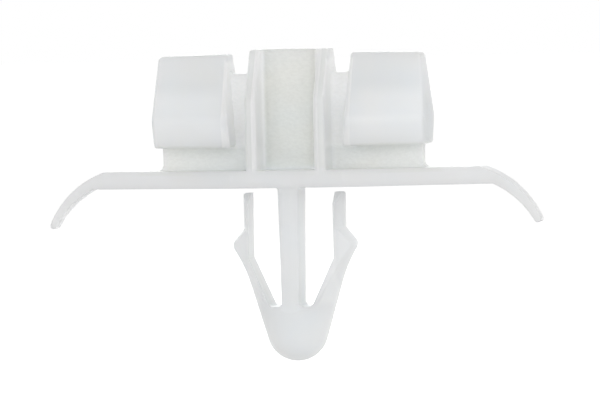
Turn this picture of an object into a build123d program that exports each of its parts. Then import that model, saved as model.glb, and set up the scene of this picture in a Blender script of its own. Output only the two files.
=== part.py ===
from build123d import *

import os
from math import cos, radians, sin, tan

# Windshield moulding clip, moulded in one piece of natural nylon. Millimetres.
# The origin lies on the anchor's axis, at the underside of the plate, where the clip seats on the car body.
# +Z points away from the body, X runs along the plate and -Y is the side seen from the front.

# Plate, with its outline seen from above: full depth in the middle, drawn in towards the two ends
plate_thickness = 1.42
plate_depth = 7.6
full_depth_span = 9.3
end_reach = 20.6
end_depth = 1.4
end_corner_radius = 0.5

# Sprung wings at the two ends of the plate, curved down onto the body
wing_start = 15.65
wing_root_slope = 18
wing_tip_slope = 64.7
wing_radius = 8.1
wing_underside_start = 16.65
wing_middle_thickness = 0.8
wing_tip_thickness = 0.6

# Upright wall along the middle of the plate
wall_thickness = 1.4
wall_span = 21.64
wall_foot_radius = 0.5
notch_floor = 9.25
notch_radius = 0.6
groove_radius = 0.4

# Two barbed blocks on the wall, which hold the lips of the moulding
block_inner = 4.65
block_inner_lean = 0.48
block_outer = 11.37
block_outer_lean = 0.44
block_outer_foot_lean = 0.1
block_lip = 3.3
block_lip_set_back = 0.45
block_shoulder = 5.5
block_shoulder_radius = 1.5
block_side_radius = 8.0
block_top = 10.9
block_top_fall = 0.1
block_top_depth = 2.25
block_corner_radius = 0.5
block_edge_radius = 0.25

# Tower between the blocks: two rims as deep as the plate, joined by the wall, open at the front and the back
tower_width = 6.62
tower_rim = 0.94
tower_slope_start = 7.2
tower_top = 11.25
tower_top_depth = 2.3
tower_slope_radius = 1.5
tower_edge_radius = 0.25
pocket_corner_radius = 0.8

# Anchor, pressed through the hole in the body panel
anchor_length = 14.37
anchor_back = 0.3
anchor_front = 3.1
anchor_edge_radius = 0.2
ridge_width = 1.5
ridge_radius = 2.0
flank_angle = 19
neck_radius = 4.21
neck_length = 3.42
shoulder_radius = 5.3
shoulder_drop = 4.73
shoulder_round = 0.7
cone_top_drop = 7.95
cone_half_angle = 16.5
nose_radius = 2.53
arm_tip_gap = 0.5
arm_tip_round = 0.2
arm_tip_chamfer_height = 0.9
arm_tip_chamfer_depth = 1.15
arm_inner = 3.52
arm_bend_drop = 5.8
slot_drop = 9.75
slot_foot_width = 1.05
slot_root_radius = 0.35
stem_width = 1.66
stem_foot_width = 1.4
stem_root_radius = 0.3

# Reach of a cut or a trimming outline past the solid that it works on
clearance = 2.0

# Two faces that meet at less than this angle run smoothly into each other
smooth_angle = 8


def half_depth_at(x):
    """Half the plate's depth at a distance x from its middle, on the drawn-in stretch of its outline."""
    draw = (plate_depth - end_depth) / (2 * end_reach - full_depth_span)
    return plate_depth / 2 - draw * (x - full_depth_span / 2)


def wing_point(slope, below):
    """The point of a wing where it slopes by this angle, some way below its upper side."""
    out = wing_start + wing_radius * (sin(radians(slope)) - sin(radians(wing_root_slope)))
    up = plate_thickness - wing_radius * (cos(radians(wing_root_slope)) - cos(radians(slope)))
    return (out - below * sin(radians(slope)), up - below * cos(radians(slope)))


def sharp_edges(solid, lowest, highest):
    """The edges of a solid in this range of heights where two faces meet at an angle, not smoothly."""
    found = ShapeList()
    for edge in solid.edges().filter_by_position(Axis.Z, lowest, highest):
        normals = [face.normal_at(edge @ 0.5) for face in solid.faces() if edge in face.edges()]
        if normals[0].get_angle(normals[-1]) > smooth_angle:
            found.append(edge)
    return found


# Plate and wings: the front outline, extruded, then trimmed to the outline seen from above
wing_middle_slope = (wing_root_slope + wing_tip_slope) / 2
tip_centre_x, tip_centre_z = wing_point(wing_tip_slope, wing_tip_thickness / 2)
tip_end = (
    tip_centre_x + wing_tip_thickness / 2 * cos(radians(wing_tip_slope)),
    tip_centre_z - wing_tip_thickness / 2 * sin(radians(wing_tip_slope)),
)

with BuildPart() as plate:
    with BuildSketch(Plane.XZ):
        with BuildLine():
            Line((0, plate_thickness), wing_point(wing_root_slope, 0))
            ThreePointArc(
                wing_point(wing_root_slope, 0), wing_point(wing_middle_slope, 0), wing_point(wing_tip_slope, 0)
            )
            ThreePointArc(wing_point(wing_tip_slope, 0), tip_end, wing_point(wing_tip_slope, wing_tip_thickness))
            ThreePointArc(
                wing_point(wing_tip_slope, wing_tip_thickness),
                wing_point(wing_middle_slope, wing_middle_thickness),
                (wing_underside_start, 0),
            )
            Line((wing_underside_start, 0), (0, 0))
            mirror(about=Plane.YZ)
        make_face()
    extrude(amount=plate_depth / 2 + clearance, both=True)
    with BuildSketch(Plane.XY) as outline_from_above:
        with BuildLine():
            Polyline(
                (0, plate_depth / 2),
                (full_depth_span / 2, plate_depth / 2),
                (end_reach, end_depth / 2),
                (end_reach, 0),
            )
            mirror(about=Plane.XZ)
            mirror(about=Plane.YZ)
        make_face()
        fillet(outline_from_above.vertices().group_by(Axis.X)[0], end_corner_radius)
        fillet(outline_from_above.vertices().group_by(Axis.X)[-1], end_corner_radius)
    extrude(amount=end_reach, both=True, mode=Mode.INTERSECT)

# Wall: its front outline, with rounded feet on the plate
with BuildPart() as wall:
    with BuildSketch(Plane.XZ) as wall_outline:
        Rectangle(wall_span, notch_floor + 2 * notch_radius, align=(Align.CENTER, Align.MIN))
        Rectangle(wall_span + 2 * clearance, plate_thickness, align=(Align.CENTER, Align.MIN))
        wall_feet = wall_outline.vertices().filter_by_position(
            Axis.Y, plate_thickness / 2, (plate_thickness + notch_floor) / 2
        )
        fillet(wall_feet.filter_by_position(Axis.X, -wall_span / 2, wall_span / 2), wall_foot_radius)
    extrude(amount=wall_thickness / 2, both=True)

# Right-hand block: a barb at the front and one at the back, as deep as the plate under them, with leaning ends
with BuildPart() as block:
    for x in (block_inner - clearance, block_outer + clearance):
        with BuildSketch(Plane.YZ.offset(x)) as barb_section:
            with BuildLine():
                Polyline(
                    (0, block_lip),
                    (half_depth_at(x) - block_lip_set_back, block_lip),
                    (half_depth_at(x), block_shoulder),
                    (block_top_depth / 2, block_top),
                    (0, block_top),
                )
                mirror(about=Plane.YZ)
            make_face()
            fillet(barb_section.vertices().sort_by(Axis.X)[0], block_shoulder_radius)
            fillet(barb_section.vertices().sort_by(Axis.X)[-1], block_shoulder_radius)
    loft(ruled=True)
    with BuildSketch(Plane.XZ) as block_outline:
        with BuildLine():
            Polyline(
                (block_inner, block_lip),
                (block_inner + block_inner_lean, block_top),
                (block_outer - block_outer_lean, block_top - block_top_fall),
                (block_outer, block_shoulder),
                (block_outer - block_outer_foot_lean, block_lip),
                close=True,
            )
        make_face()
        fillet(block_outline.vertices().sort_by(Axis.X)[-1], block_side_radius)
        fillet(block_outline.vertices().sort_by(Axis.Y)[-2], block_corner_radius)
    extrude(amount=plate_depth, both=True, mode=Mode.INTERSECT)
    fillet(sharp_edges(block.part, 0, block_top), block_edge_radius)

# Tower: its section from front to back, then a pocket cut in the front and one in the back
with BuildPart() as tower:
    with BuildSketch(Plane.YZ) as tower_section:
        with BuildLine():
            Polyline(
                (0, plate_thickness / 2),
                (plate_depth / 2, plate_thickness / 2),
                (plate_depth / 2, tower_slope_start),
                (tower_top_depth / 2, tower_top),
                (0, tower_top),
            )
            mirror(about=Plane.YZ)
        make_face()
        slope_feet = tower_section.vertices().filter_by_position(Axis.Y, plate_thickness, tower_top, (False, False))
        fillet(slope_feet, tower_slope_radius)
    extrude(amount=tower_width / 2, both=True)
    with BuildSketch(Plane.XY.offset(plate_thickness)) as pockets:
        with Locations((0, wall_thickness / 2)):
            Rectangle(tower_width - 2 * tower_rim, plate_depth, align=(Align.CENTER, Align.MIN))
        fillet(pockets.vertices().group_by(Axis.Y)[0], pocket_corner_radius)
        mirror(about=Plane.XZ)
    extrude(amount=tower_top, mode=Mode.SUBTRACT)
    fillet(sharp_edges(tower.part, plate_thickness + tower_edge_radius, tower_top), tower_edge_radius)

# Anchor: a turned bullet, cut flat at the back and to a ridge at the front, then slotted into a stem and two arms
nose_edge = (
    nose_radius * cos(radians(cone_half_angle)),
    nose_radius - anchor_length - nose_radius * sin(radians(cone_half_angle)),
)
cone_top = (nose_edge[0] + (-cone_top_drop - nose_edge[1]) * tan(radians(cone_half_angle)), -cone_top_drop)
flank_fall = (shoulder_radius + clearance - ridge_width / 2) * tan(radians(flank_angle))

with BuildPart() as anchor:
    with BuildSketch(Plane.XZ) as bullet:
        with BuildLine():
            TangentArc((0, -anchor_length), nose_edge, tangent=(1, 0))
            Line(nose_edge, cone_top)
            TangentArc(
                cone_top,
                (shoulder_radius, -shoulder_drop),
                tangent=(sin(radians(cone_half_angle)), cos(radians(cone_half_angle))),
            )
            Polyline(
                (shoulder_radius, -shoulder_drop),
                (neck_radius, -neck_length),
                (neck_radius, -arm_tip_gap),
                (arm_inner, -arm_tip_gap),
                (arm_inner, 0),
                (0, 0),
                (0, -anchor_length),
            )
        make_face()
        fillet(bullet.vertices().sort_by(Axis.X)[-1], shoulder_round)
        neck_ends = bullet.vertices().filter_by_position(Axis.X, neck_radius, neck_radius)
        fillet(neck_ends.sort_by(Axis.Y)[-1], arm_tip_round)
    revolve(axis=Axis.Z)
    with BuildSketch(Plane.XY) as anchor_section:
        with BuildLine():
            Polyline(
                (0, anchor_back),
                (shoulder_radius + clearance, anchor_back),
                (shoulder_radius + clearance, flank_fall - anchor_front),
                (ridge_width / 2, -anchor_front),
                (0, -anchor_front),
            )
            mirror(about=Plane.YZ)
        make_face()
        fillet(anchor_section.vertices().group_by(Axis.Y)[0], ridge_radius)
    extrude(amount=-anchor_length, mode=Mode.INTERSECT)
    front_edges = sharp_edges(anchor.part, -anchor_length, -arm_tip_gap - arm_tip_round).filter_by_position(
        Axis.Y, -anchor_front, 0
    )
    fillet(front_edges, anchor_edge_radius)
    with BuildSketch(Plane.XZ) as slots:
        with BuildLine():
            Polyline(
                (stem_width / 2, 0),
                (shoulder_radius, 0),
                (shoulder_radius, -arm_tip_gap),
                (arm_inner, -arm_tip_gap),
                (arm_inner, -arm_bend_drop),
                (stem_foot_width / 2 + slot_foot_width, -slot_drop),
                (stem_foot_width / 2, -slot_drop),
                close=True,
            )
        make_face()
        fillet(slots.vertices().group_by(Axis.Y)[0], slot_root_radius)
        fillet(slots.vertices().group_by(Axis.Y)[-1].sort_by(Axis.X)[0], stem_root_radius)
        mirror(about=Plane.YZ)
    extrude(amount=plate_depth, both=True, mode=Mode.SUBTRACT)
    flank_at_arm = (arm_inner - ridge_width / 2) * tan(radians(flank_angle)) - anchor_front
    chamfer_run = arm_tip_chamfer_depth / arm_tip_chamfer_height
    chamfer_start = flank_at_arm + arm_tip_chamfer_depth
    with BuildSketch(Plane.YZ.offset(arm_inner)) as tip_chamfer:
        with BuildLine():
            Polyline(
                (chamfer_start, -arm_tip_gap),
                (-anchor_front, -arm_tip_gap),
                (-anchor_front, -arm_tip_gap - (chamfer_start + anchor_front) / chamfer_run),
                close=True,
            )
        make_face()
    arm_chamfer = extrude(amount=shoulder_radius, mode=Mode.PRIVATE)
    add(arm_chamfer, mode=Mode.SUBTRACT)
    mirror(arm_chamfer, about=Plane.YZ, mode=Mode.SUBTRACT)

with BuildPart() as windshield_clip:
    add(plate.part)
    add(wall.part)
    add(block.part)
    mirror(block.part, about=Plane.YZ)
    add(tower.part)
    groove_corners = ShapeList()
    for edge in sharp_edges(windshield_clip.part, block_lip, notch_floor):
        middle = edge @ 0.5
        in_groove = tower_width / 2 - tower_rim < abs(middle.X) < block_inner
        if in_groove and abs(middle.Y) < block_top_depth / 2 and edge.length > block_top - block_shoulder:
            groove_corners.append(edge)
    fillet(groove_corners, groove_radius)
    inner_run = block_inner_lean / (block_top - block_lip)
    with BuildSketch(Plane.XZ) as notches:
        with BuildLine():
            Polyline(
                (tower_width / 2, block_top),
                (tower_width / 2, notch_floor),
                (block_inner + inner_run * (notch_floor - block_lip), notch_floor),
                (block_inner + block_inner_lean, block_top),
                close=True,
            )
        make_face()
        fillet(notches.vertices().group_by(Axis.Y)[0], notch_radius)
        mirror(about=Plane.YZ)
    extrude(amount=plate_depth, both=True, mode=Mode.SUBTRACT)
    add(anchor.part)

windshield_clip.part.label = "windshield_clip"

os.makedirs("parts", exist_ok=True)
export_step(windshield_clip.part, "parts/windshield_clip.step")
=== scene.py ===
# %% [markdown]
# A windshield clip is a small nylon moulding. Its slotted anchor is pressed through a hole in the car body,
# its plate and two sprung wings bear on the body around that hole, and its barbed head holds the long strip
# that covers the windshield's edge. It is moulded in one shot, so the whole clip is one piece of one
# material. The solid already has the clip's true shape, so it is not modelled again here. This lesson gives
# it the look of raw, unpainted nylon, and sets up the studio around it.

# %% The solid model, imported as it was packed
from math import cos, radians, sin

import bpy
from mathutils import Matrix, Vector

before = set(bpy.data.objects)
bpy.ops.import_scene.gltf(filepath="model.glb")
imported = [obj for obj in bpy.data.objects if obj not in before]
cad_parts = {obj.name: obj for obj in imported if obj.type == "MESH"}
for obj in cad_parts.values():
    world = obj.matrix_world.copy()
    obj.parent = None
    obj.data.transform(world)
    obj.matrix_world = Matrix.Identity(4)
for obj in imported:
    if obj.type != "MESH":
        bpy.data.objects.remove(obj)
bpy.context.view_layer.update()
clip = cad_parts["windshield_clip"]
bpy.ops.object.select_all(action="DESELECT")

# %% [markdown]
# Blender works in metres, and a clip is measured in millimetres, so MM turns one into the other. A colour
# is written as the hex value that a colour picker shows, while the shaders count light itself. One function
# turns the first into the second, so that no colour has to be guessed by eye.

# %% Units and colours
MM = 0.001


def linear(hex_colour):
    """A shader colour from an sRGB hex value."""
    shares = [int(hex_colour[i : i + 2], 16) / 255 for i in (1, 3, 5)]
    return (*[s / 12.92 if s <= 0.04045 else ((s + 0.055) / 1.055) ** 2.4 for s in shares], 1.0)


print("middle grey in linear light:", round(linear("#808080")[0], 3))

# %% [markdown]
# A material is a chain of nodes. Each could be added by hand in the Shader Editor. In a script, one helper
# that adds a node, sets it and joins it to the nodes before it keeps a long chain readable, one step under
# the other. The second helper gives an empty material to start from.

# %% Node helpers


def add_node(tree, kind, settings=None, inputs=None):
    """A new node. settings are its own properties. inputs are values, or sockets to link from."""
    node = tree.nodes.new(kind)
    for name, value in (settings or {}).items():
        setattr(node, name, value)
    for name, value in (inputs or {}).items():
        if isinstance(value, bpy.types.NodeSocket):
            tree.links.new(value, node.inputs[name])
        else:
            node.inputs[name].default_value = value
    return node


def new_material(name):
    """An empty node material."""
    material = bpy.data.materials.new(name)
    material.use_nodes = True
    material.node_tree.nodes.clear()
    return material


nylon = new_material("natural_nylon_moulded")
tree = nylon.node_tree
print("nodes in the new material:", len(tree.nodes))

# %% [markdown]
# The clip is polyamide 66, the nylon of most body clips, in its natural milky white. Light goes a few
# millimetres into it. Besides that colour, the material paints light and shade by place. Painted shade makes
# the tower, its pocket's back, the blocks' upper halves and outer ends and the wall under their lips greyer.
# Painted light makes the grooves, the pocket's sides and the insides of the anchor's slots lighter, so they
# hardly darken. So the material has to know where on the clip a point lies. Object coordinates tell that in
# metres. The clip's left and right halves are alike, and so are the front and the back of its head, so the
# signs of X and Y are dropped, and only a quarter of the clip has to be described.

# %% One quarter of the clip
place = add_node(tree, "ShaderNodeTexCoord")
folded = add_node(tree, "ShaderNodeVectorMath", {"operation": "ABSOLUTE"}, {0: place.outputs["Object"]})
height = add_node(tree, "ShaderNodeSeparateXYZ", inputs={0: place.outputs["Object"]})
across = add_node(tree, "ShaderNodeSeparateXYZ", inputs={0: folded.outputs[0]})
quarter = add_node(
    tree,
    "ShaderNodeCombineXYZ",
    inputs={"X": across.outputs["X"], "Y": across.outputs["Y"], "Z": height.outputs["Z"]},
)
print("nodes that find a point's place:", len(tree.nodes))

# %% [markdown]
# Each place is a box around a part of the clip. The places could be painted on the mesh, but the solid
# stays as it is, and a box can be moved by changing a number. A box that reaches past the clip is open on
# that side.

# %% Places on the clip, as boxes
# The low and the high corner of each box in mm, in the quarter to the right of and behind the clip's middle,
# and the share of the way from the box's centre to its sides at which it starts to fade out
BOXES = {
    "crest_painted_shade": ((3.8, -1.0, 7.0), (13.0, 5.0, 15.0), 0.6),
    "tower": ((-1.0, -1.0, 1.3), (3.4, 5.0, 13.0), 0.9),
    "pocket_back_painted_shade": ((-1.0, -1.0, 1.3), (2.5, 1.4, 13.0), 0.8),
    "pocket_side_painted_light": ((1.7, 0.8, 1.0), (2.8, 4.0, 12.0), 0.8),
    "under_lip_painted_shade": ((3.1, -1.0, 1.0), (13.0, 3.3, 3.6), 0.85),
    "groove_painted_light": ((3.1, -1.0, 3.0), (5.4, 3.7, 10.6), 0.85),
    "block_end_painted_shade": ((11.0, -1.0, 3.0), (14.0, 5.0, 11.5), 0.8),
    "anchor": ((-1.0, -1.0, -30.0), (6.0, 6.0, -0.2), 0.97),
    "slot_painted_light": ((0.6, 0.1, -10.0), (3.8, 2.5, -0.1), 0.8),
}
print("boxes:", ", ".join(BOXES))

# %% [markdown]
# For a point inside a box, its distance from the centre is under half the box's size, in all three
# directions. So each distance is divided by that half, and the largest of the three is compared with 1. A
# smooth step near 1 gives every box a soft edge, as neither the nylon's tone nor the painted light and shade
# has hard borders.

# %% How far inside each box a point lies
inside = {}
for name, (low, high, fade) in BOXES.items():
    centre = [(a + b) / 2 * MM for a, b in zip(low, high)]
    half_size = [(b - a) / 2 * MM for a, b in zip(low, high)]
    shifted = add_node(
        tree, "ShaderNodeVectorMath", {"operation": "SUBTRACT"}, {0: quarter.outputs[0], 1: centre}
    )
    distance = add_node(tree, "ShaderNodeVectorMath", {"operation": "ABSOLUTE"}, {0: shifted.outputs[0]})
    share = add_node(
        tree, "ShaderNodeVectorMath", {"operation": "DIVIDE"}, {0: distance.outputs[0], 1: half_size}
    )
    shares = add_node(tree, "ShaderNodeSeparateXYZ", inputs={0: share.outputs[0]})
    larger = add_node(
        tree, "ShaderNodeMath", {"operation": "MAXIMUM"}, {0: shares.outputs["X"], 1: shares.outputs["Y"]}
    )
    largest = add_node(
        tree, "ShaderNodeMath", {"operation": "MAXIMUM"}, {0: larger.outputs[0], 1: shares.outputs["Z"]}
    )
    inside[name] = add_node(
        tree,
        "ShaderNodeMapRange",
        {"interpolation_type": "SMOOTHSTEP"},
        {"Value": largest.outputs[0], "From Min": fade, "From Max": 1.0, "To Min": 1.0, "To Max": 0.0},
    ).outputs["Result"]
print("nodes so far:", len(tree.nodes))

# %% [markdown]
# The colours go on like thin coats. The first covers the whole clip, and each next one is mixed in where its
# box lies, over the ones before it. The anchor is greyer than the skin. The other coats are painted light and
# shade. The blocks' upper halves, the tower, its pocket's back, the wall under the blocks' lips and the
# blocks' outer ends are painted greyer than the skin, as painted shade. The pocket's sides and the grooves
# are painted lighter, as painted light, and so are the insides of the anchor's slots, lighter than the greyer
# anchor around them. A mixing node per coat is longer than one ramp, but every coat can be changed by itself.

# %% Colour and painted light and shade by place
SKIN = "#ECEEF0"
COATS = (
    # painted shade: the blocks' upper halves greyer, where less light falls from above
    ("crest_painted_shade", "#E4E6E8"),
    # painted shade: the tower and its pocket greyer
    ("tower", "#E4E7E5"),
    # painted shade: the back of the tower's pocket greyer still
    ("pocket_back_painted_shade", "#D7D8D6"),
    # painted light: the pocket's sides lighter
    ("pocket_side_painted_light", "#FDFFFE"),
    # painted shade: the wall under the blocks' lips a little greyer
    ("under_lip_painted_shade", "#E9EBEA"),
    # painted light: the grooves lighter, so they hardly darken
    ("groove_painted_light", "#FEFFFF"),
    # painted shade: the blocks' outer ends greyer, as they face away from the light
    ("block_end_painted_shade", "#DCDEE0"),
    ("anchor", "#E4E6E8"),
    # painted light: the insides of the slots lighter than the anchor
    ("slot_painted_light", "#EDEFEF"),
)
colour = linear(SKIN)
for name, coat in COATS:
    mixed = add_node(
        tree, "ShaderNodeMix", {"data_type": "RGBA"}, {"Factor": inside[name], "A": colour, "B": linear(coat)}
    )
    colour = mixed.outputs["Result"]
print("coats over the skin colour:", len(COATS))

# %% [markdown]
# The recesses are cut into the mould by spark erosion, which leaves fine pits, and the nylon copies them as
# a grain. The mould's outer faces are polished, so the grain is only near the middle of the clip's depth,
# on the wall and on the narrow tops above it. Two smooth steps, one on the depth and one on the height,
# mark it out.

# %% Where the mould was spark-eroded
GRAIN_FULL_DEPTH = 0.9 * MM
GRAIN_END_DEPTH = 1.4 * MM
GRAIN_START_HEIGHT = 1.3 * MM
GRAIN_FULL_HEIGHT = 1.7 * MM
near_wall = add_node(
    tree,
    "ShaderNodeMapRange",
    {"interpolation_type": "SMOOTHSTEP"},
    {
        "Value": across.outputs["Y"],
        "From Min": GRAIN_FULL_DEPTH,
        "From Max": GRAIN_END_DEPTH,
        "To Min": 1.0,
        "To Max": 0.0,
    },
)
over_plate = add_node(
    tree,
    "ShaderNodeMapRange",
    {"interpolation_type": "SMOOTHSTEP"},
    {"Value": height.outputs["Z"], "From Min": GRAIN_START_HEIGHT, "From Max": GRAIN_FULL_HEIGHT},
)
grained = add_node(
    tree, "ShaderNodeMath", {"operation": "MULTIPLY"}, {0: near_wall.outputs[0], 1: over_plate.outputs[0]}
)
print("grain up to", round(GRAIN_END_DEPTH / MM, 1), "mm from the middle of the depth")

# %% [markdown]
# The real grain is about 0.1 mm, too fine to show at this size, so it is drawn at 0.22 mm, and a little
# wider than it is tall. One noise drives both the colour and a bump, because pits look darker as well as
# rough.

# %% Spark-eroded grain
GRAIN = 0.22 * MM
GRAIN_STRETCH = (0.6, 1.0, 1.0)
PIT_SHADE = 0.972
RIM_SHADE = 1.022
PIT_DEPTH = 0.03 * MM
PIT_NOISE = 0.35
RIM_NOISE = 0.65
stretched = add_node(
    tree, "ShaderNodeVectorMath", {"operation": "MULTIPLY"}, {0: place.outputs["Object"], 1: GRAIN_STRETCH}
)
grain = add_node(
    tree,
    "ShaderNodeTexNoise",
    inputs={"Vector": stretched.outputs[0], "Scale": 1 / GRAIN, "Detail": 2.0, "Roughness": 0.6},
)
pits = add_node(
    tree,
    "ShaderNodeMapRange",
    inputs={
        "Value": grain.outputs["Fac"],
        "From Min": PIT_NOISE,
        "From Max": RIM_NOISE,
        "To Min": PIT_SHADE,
        "To Max": RIM_SHADE,
    },
)
pitted = add_node(
    tree,
    "ShaderNodeMix",
    {"data_type": "RGBA", "blend_type": "MULTIPLY"},
    {"Factor": grained.outputs[0], "A": colour, "B": pits.outputs["Result"]},
)
bump = add_node(
    tree,
    "ShaderNodeBump",
    inputs={"Strength": grained.outputs[0], "Distance": PIT_DEPTH, "Height": grain.outputs["Fac"]},
)
print("grain per mm:", round(MM / GRAIN, 1))

# %% [markdown]
# Where the melt flowed and cooled, raw nylon is a shade cooler in one spot and warmer in another. A slow
# noise, about 4 mm across, gives that. It stays within two or three parts in a hundred, because more would
# look dirty.

# %% Flow marks
FLOW = 4.0 * MM
COOL_NOISE = 0.3
WARM_NOISE = 0.7
flow = add_node(
    tree,
    "ShaderNodeTexNoise",
    inputs={"Vector": place.outputs["Object"], "Scale": 1 / FLOW, "Detail": 1.0},
)
clouds = add_node(
    tree,
    "ShaderNodeMapRange",
    inputs={"Value": flow.outputs["Fac"], "From Min": COOL_NOISE, "From Max": WARM_NOISE},
)
cast = add_node(
    tree,
    "ShaderNodeMix",
    {"data_type": "RGBA"},
    {"Factor": clouds.outputs["Result"], "A": linear("#FCFEFF"), "B": linear("#FFFEFC")},
)
tinted = add_node(
    tree,
    "ShaderNodeMix",
    {"data_type": "RGBA", "blend_type": "MULTIPLY"},
    {"Factor": 1.0, "A": pitted.outputs["Result"], "B": cast.outputs["Result"]},
)
print("flow marks every", FLOW / MM, "mm")

# %% [markdown]
# The Principled shader brings it together. Nylon's IOR is 1.53, and a polished mould leaves it satin, so
# the roughness is 0.5. Full subsurface scattering with a reach of 5 mm makes the light soak through the 1.4
# mm walls, which is what takes the hard contrast out of raw nylon. Plain diffuse paint would look like
# plaster.

# %% Natural nylon
shader = add_node(
    tree,
    "ShaderNodeBsdfPrincipled",
    inputs={
        "Base Color": tinted.outputs["Result"],
        "Roughness": 0.5,
        "IOR": 1.53,
        "Subsurface Weight": 1.0,
        "Subsurface Radius": (1.0, 1.0, 0.95),
        "Subsurface Scale": 5.0 * MM,
        "Normal": bump.outputs["Normal"],
    },
)
add_node(tree, "ShaderNodeOutputMaterial", inputs={"Surface": shader.outputs["BSDF"]})
clip.data.materials.clear()
clip.data.materials.append(nylon)
print("nylon on", clip.name, "with", len(tree.nodes), "nodes")

# %% [markdown]
# The clip is shown on pure white. Flooding it with light would do that, but it would also wash the nylon
# out. A Light Path node offers another way: it tells a ray that looks, from the camera or by way of the
# clip's gloss, from a ray that brings light. What is shown to the first can be pure white, while the level
# of the light stays plain.

# %% Rays that look


def looked_at(tree):
    """1 for a ray from the camera, or one that the clip mirrors or passes on, and 0 for any other ray."""
    ray = add_node(tree, "ShaderNodeLightPath")
    seen = add_node(
        tree,
        "ShaderNodeMath",
        {"operation": "MAXIMUM"},
        {0: ray.outputs["Is Camera Ray"], 1: ray.outputs["Is Glossy Ray"]},
    )
    seen_through = add_node(
        tree,
        "ShaderNodeMath",
        {"operation": "MAXIMUM"},
        {0: seen.outputs[0], 1: ray.outputs["Is Transmission Ray"]},
    )
    return seen_through.outputs[0]


paper = new_material("white_paper")
tree = paper.node_tree
looking = looked_at(tree)
print("nodes that tell looking from lighting:", len(tree.nodes))

# %% [markdown]
# A sweep is a large sheet of matt paper, without gloss, so it shows no reflection of the lamps. Nothing
# touches the clip, so the paper lies some way below it. It is lit like everything else and takes the clip's
# soft shadow, and the rays that look see a little glow on it, which brings the grey of the lit paper up to
# white.

# %% White sweep
FLOOR_DROP = 60 * MM
FLOOR_SIZE = 6.0
PAPER_GLOW = 0.57
bpy.ops.mesh.primitive_plane_add(size=FLOOR_SIZE, location=(0, 0, -FLOOR_DROP))
floor = bpy.context.object
floor.name = "white_sweep"
bpy.ops.object.transform_apply(location=True, rotation=True, scale=True)

matt = add_node(tree, "ShaderNodeBsdfDiffuse", inputs={"Color": linear("#F0F0F0")})
lift = add_node(tree, "ShaderNodeMath", {"operation": "MULTIPLY"}, {0: looking, 1: PAPER_GLOW})
glow = add_node(tree, "ShaderNodeEmission", inputs={"Color": linear("#FFFFFF"), "Strength": lift.outputs[0]})
both = add_node(tree, "ShaderNodeAddShader", inputs={0: matt.outputs[0], 1: glow.outputs[0]})
add_node(tree, "ShaderNodeOutputMaterial", inputs={"Surface": both.outputs[0]})
floor.data.materials.append(paper)
print("sweep:", FLOOR_SIZE, "m wide,", FLOOR_DROP / MM, "mm below the plate")

# %% [markdown]
# A light tent is brightest where its lamps stand, all round at the height of the object, and dims towards its
# roof. The world does the same: its level falls from just under the horizon to straight above. That, together
# with the painted shade on the blocks' upper halves, is why the clip's upper slopes are not lighter than its
# fronts. The roof's axis leans to the left, so the right-hand side is a touch lighter. The rays that look see
# plain white instead of the tent.

# %% Light tent
WALL_LEVEL = 1.5
ROOF_LEVEL = 0.17
ROOF_AXIS = (-0.1, 0.0, 1.0)
WALL_FOOT = -0.2
world = bpy.data.worlds.new("light_tent")
bpy.context.scene.world = world
world.use_nodes = True
tree = world.node_tree
tree.nodes.clear()
direction = add_node(tree, "ShaderNodeTexCoord")
upward = add_node(
    tree,
    "ShaderNodeVectorMath",
    {"operation": "DOT_PRODUCT"},
    {0: direction.outputs["Generated"], 1: ROOF_AXIS},
)
level = add_node(
    tree,
    "ShaderNodeMapRange",
    inputs={
        "Value": upward.outputs["Value"],
        "From Min": WALL_FOOT,
        "To Min": WALL_LEVEL,
        "To Max": ROOF_LEVEL,
    },
)
tent = add_node(
    tree, "ShaderNodeBackground", inputs={"Color": linear("#FFFFFF"), "Strength": level.outputs["Result"]}
)
white = add_node(tree, "ShaderNodeBackground", inputs={"Color": linear("#FFFFFF"), "Strength": 1.0})
either = add_node(
    tree, "ShaderNodeMixShader", inputs={0: looked_at(tree), 1: tent.outputs[0], 2: white.outputs[0]}
)
add_node(tree, "ShaderNodeOutputWorld", inputs={"Surface": either.outputs[0]})
print("tent level:", WALL_LEVEL, "low on its walls,", ROOF_LEVEL, "at its roof")

# %% [markdown]
# Two large soft boxes finish the light. One stands behind and just above the camera and shines straight into
# the grooves, so that, with their painted light, they stay light. The other stands behind the clip and a
# little to its left, and shines through the thin arms and wings, which is how raw nylon is told from white
# paint. Each is 0.6 m wide at 1 m, so no shadow has a hard edge. A lamp points along its own -Z, and
# to_track_quat turns that axis towards the clip.

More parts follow.
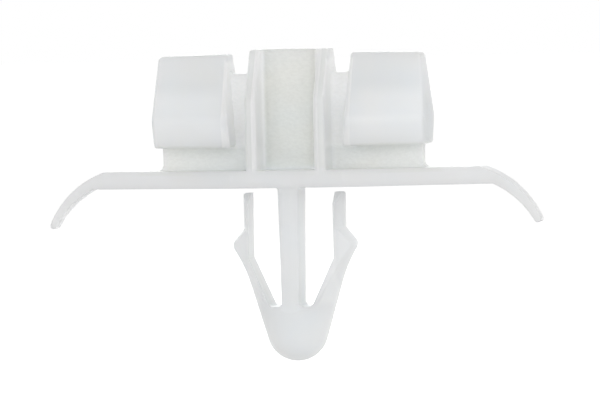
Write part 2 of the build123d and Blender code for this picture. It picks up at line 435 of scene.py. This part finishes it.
# %% Soft boxes
LAMP_DISTANCE = 1.0
LAMP_WIDTH = 0.6
SOFT_BOXES = {"front_soft_box": (12, 10, 2.2), "back_soft_box": (-160, 25, 2.7)}
for name, (azimuth, elevation, watts) in SOFT_BOXES.items():
    bpy.ops.object.light_add(type="AREA")
    lamp = bpy.context.object
    lamp.name = name
    lamp.data.shape = "SQUARE"
    lamp.data.size = LAMP_WIDTH
    lamp.data.energy = watts
    turn, lift = radians(azimuth), radians(elevation)
    lamp.location = Vector((sin(turn) * cos(lift), -cos(turn) * cos(lift), sin(lift))) * LAMP_DISTANCE
    lamp.rotation_euler = (-lamp.location).to_track_quat("-Z", "Y").to_euler()
    print(name, "at", [round(c, 2) for c in lamp.location])

# %% [markdown]
# The photograph was taken from a little to the right and just above, with the camera tilted by a degree or
# so. It doesn't tell the distance, so half a metre is taken, as for most small products. The lens is long,
# so the clip's two ends look almost the same size. The lens is worked out from the pixels that one radian
# spans.

# %% Camera
CAMERA_AZIMUTH = 11.01
CAMERA_ELEVATION = 2.63
CAMERA_ROLL = 1.36
CAMERA_DISTANCE = 506.33 * MM
CAMERA_TARGET = Vector((0.42, 0, -1.17)) * MM
PIXELS_PER_RADIAN = 6177.21
IMAGE_WIDTH = 600
SENSOR_WIDTH = 36.0
NEAREST_SEEN = 10 * MM

bpy.ops.object.camera_add()
camera = bpy.context.object
camera.name = "photo_camera"
turn, lift = radians(CAMERA_AZIMUTH), radians(CAMERA_ELEVATION)
outward = Vector((sin(turn) * cos(lift), -cos(turn) * cos(lift), sin(lift)))
camera.location = CAMERA_TARGET + outward * CAMERA_DISTANCE
upright = outward.to_track_quat("Z", "Y").to_matrix()
camera.rotation_euler = (upright @ Matrix.Rotation(radians(-CAMERA_ROLL), 3, "Z")).to_euler()
camera.data.sensor_width = SENSOR_WIDTH
camera.data.lens = SENSOR_WIDTH * PIXELS_PER_RADIAN / IMAGE_WIDTH
camera.data.clip_start = NEAREST_SEEN
bpy.context.scene.camera = camera
print("lens in mm:", round(camera.data.lens, 1))

# %% [markdown]
# The Standard view shows colours as they were lit, with no film look.

# %% View
bpy.context.scene.view_settings.view_transform = "Standard"
